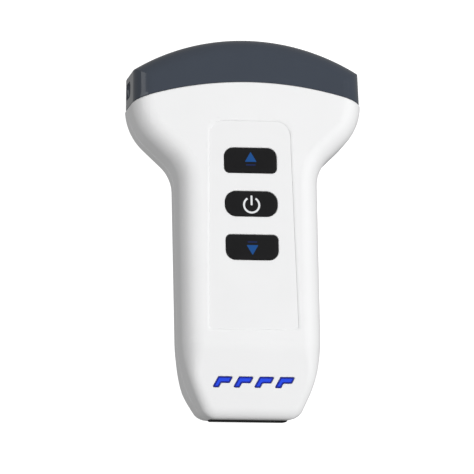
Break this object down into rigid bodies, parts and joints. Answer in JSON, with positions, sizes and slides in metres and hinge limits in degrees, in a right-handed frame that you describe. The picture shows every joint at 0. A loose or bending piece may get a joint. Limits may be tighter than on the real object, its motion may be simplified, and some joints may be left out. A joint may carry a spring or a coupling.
{
  "type": "handheld ultrasound scanner",
  "caption": "Handheld wireless ultrasound scanner: wide curved transducer head, narrow handle with recessed key panel, sloped tail with indicator windows and a hinged port cover.",
  "frame": {"origin": "on the flat back, under the middle of the length and width", "axes": "+Z out of the key face, +Y towards the transducer, +X to the right when the keys are seen with the transducer up"},
  "size_m": [0.072, 0.12, 0.0242],
  "materials": {
    "acoustic_lens": "satin",
    "antenna": "matte",
    "array_flex": "satin",
    "backing_block": "matte",
    "battery": "satin",
    "battery_lead": "satin",
    "board_green": "satin",
    "casing_white": "satin gloss",
    "chassis": "satin",
    "chip_black": "matte",
    "connector_ivory": "matte",
    "control_panel": "satin",
    "key_black": "satin",
    "lamp_white": "gloss",
    "matching_layer": "matte",
    "nose_housing": "gloss",
    "piezo_array": "satin",
    "plunger_ivory": "matte",
    "port_cover": "matte",
    "seal_black": "matte",
    "steel": "satin",
    "switch_black": "matte",
    "tinned_metal": "satin",
    "window_blue": "gloss"
  },
  "bodies": {
    "housing": {"acoustic_lens": "acoustic_lens", "antenna": "antenna", "array_flex": "array_flex", "back_shell": "casing_white", "backing_block": "backing_block", "battery": "battery", "battery_connector": "connector_ivory", "battery_lead": "battery_lead", "board_connector": "connector_ivory", "board_screw_1": "steel", "board_screw_2": "steel", "board_screw_3": "steel", "board_screw_4": "steel", "case_screw_1": "steel", "case_screw_2": "steel", "case_screw_3": "steel", "case_screw_4": "steel", "charging_port": "tinned_metal", "chassis": "chassis", "control_panel": "control_panel", "cover_hinge_pin": "steel", "flex_connector": "connector_ivory", "front_end_chip": "chip_black", "front_shell": "casing_white", "key_board": "board_green", "key_board_screw_1": "steel", "key_board_screw_2": "steel", "key_board_screw_3": "steel", "key_board_screw_4": "steel", "key_switch_down": "switch_black", "key_switch_power": "switch_black", "key_switch_up": "switch_black", "led_window_1": "window_blue", "led_window_2": "window_blue", "led_window_3": "window_blue", "led_window_4": "window_blue", "main_board": "board_green", "matching_layer": "matching_layer", "nose_housing": "nose_housing", "nose_seal": "seal_black", "piezo_array": "piezo_array", "processor_chip": "chip_black", "radio_module": "tinned_metal", "seam_seal_left": "seal_black", "seam_seal_right": "seal_black", "shield_can": "tinned_metal", "status_lamp_1": "lamp_white", "status_lamp_2": "lamp_white", "status_lamp_3": "lamp_white", "status_lamp_4": "lamp_white"},
    "key_up": {"button_up": "key_black", "switch_plunger_up": "plunger_ivory"},
    "key_power": {"button_power": "key_black", "switch_plunger_power": "plunger_ivory"},
    "key_down": {"button_down": "key_black", "switch_plunger_down": "plunger_ivory"},
    "cover": {"port_cover": "port_cover"}
  },
  "joints": [
    {"name": "key_up_press", "type": "slide", "parent": "housing", "child": "key_up", "axis": [0, 0, -1], "range_m": [0, 0.0004], "stiffness_N_per_m": 60, "springref_m": -0.002},
    {"name": "key_power_press", "type": "slide", "parent": "housing", "child": "key_power", "axis": [0, 0, -1], "range_m": [0, 0.0004], "stiffness_N_per_m": 60, "springref_m": -0.002},
    {"name": "key_down_press", "type": "slide", "parent": "housing", "child": "key_down", "axis": [0, 0, -1], "range_m": [0, 0.0004], "stiffness_N_per_m": 60, "springref_m": -0.002},
    {"name": "port_cover_hinge", "type": "hinge", "parent": "housing", "child": "cover", "pos_m": [0, -0.05704, 0.0049], "axis": [1, 0, 0], "range_deg": [0, 95]}
  ]
}
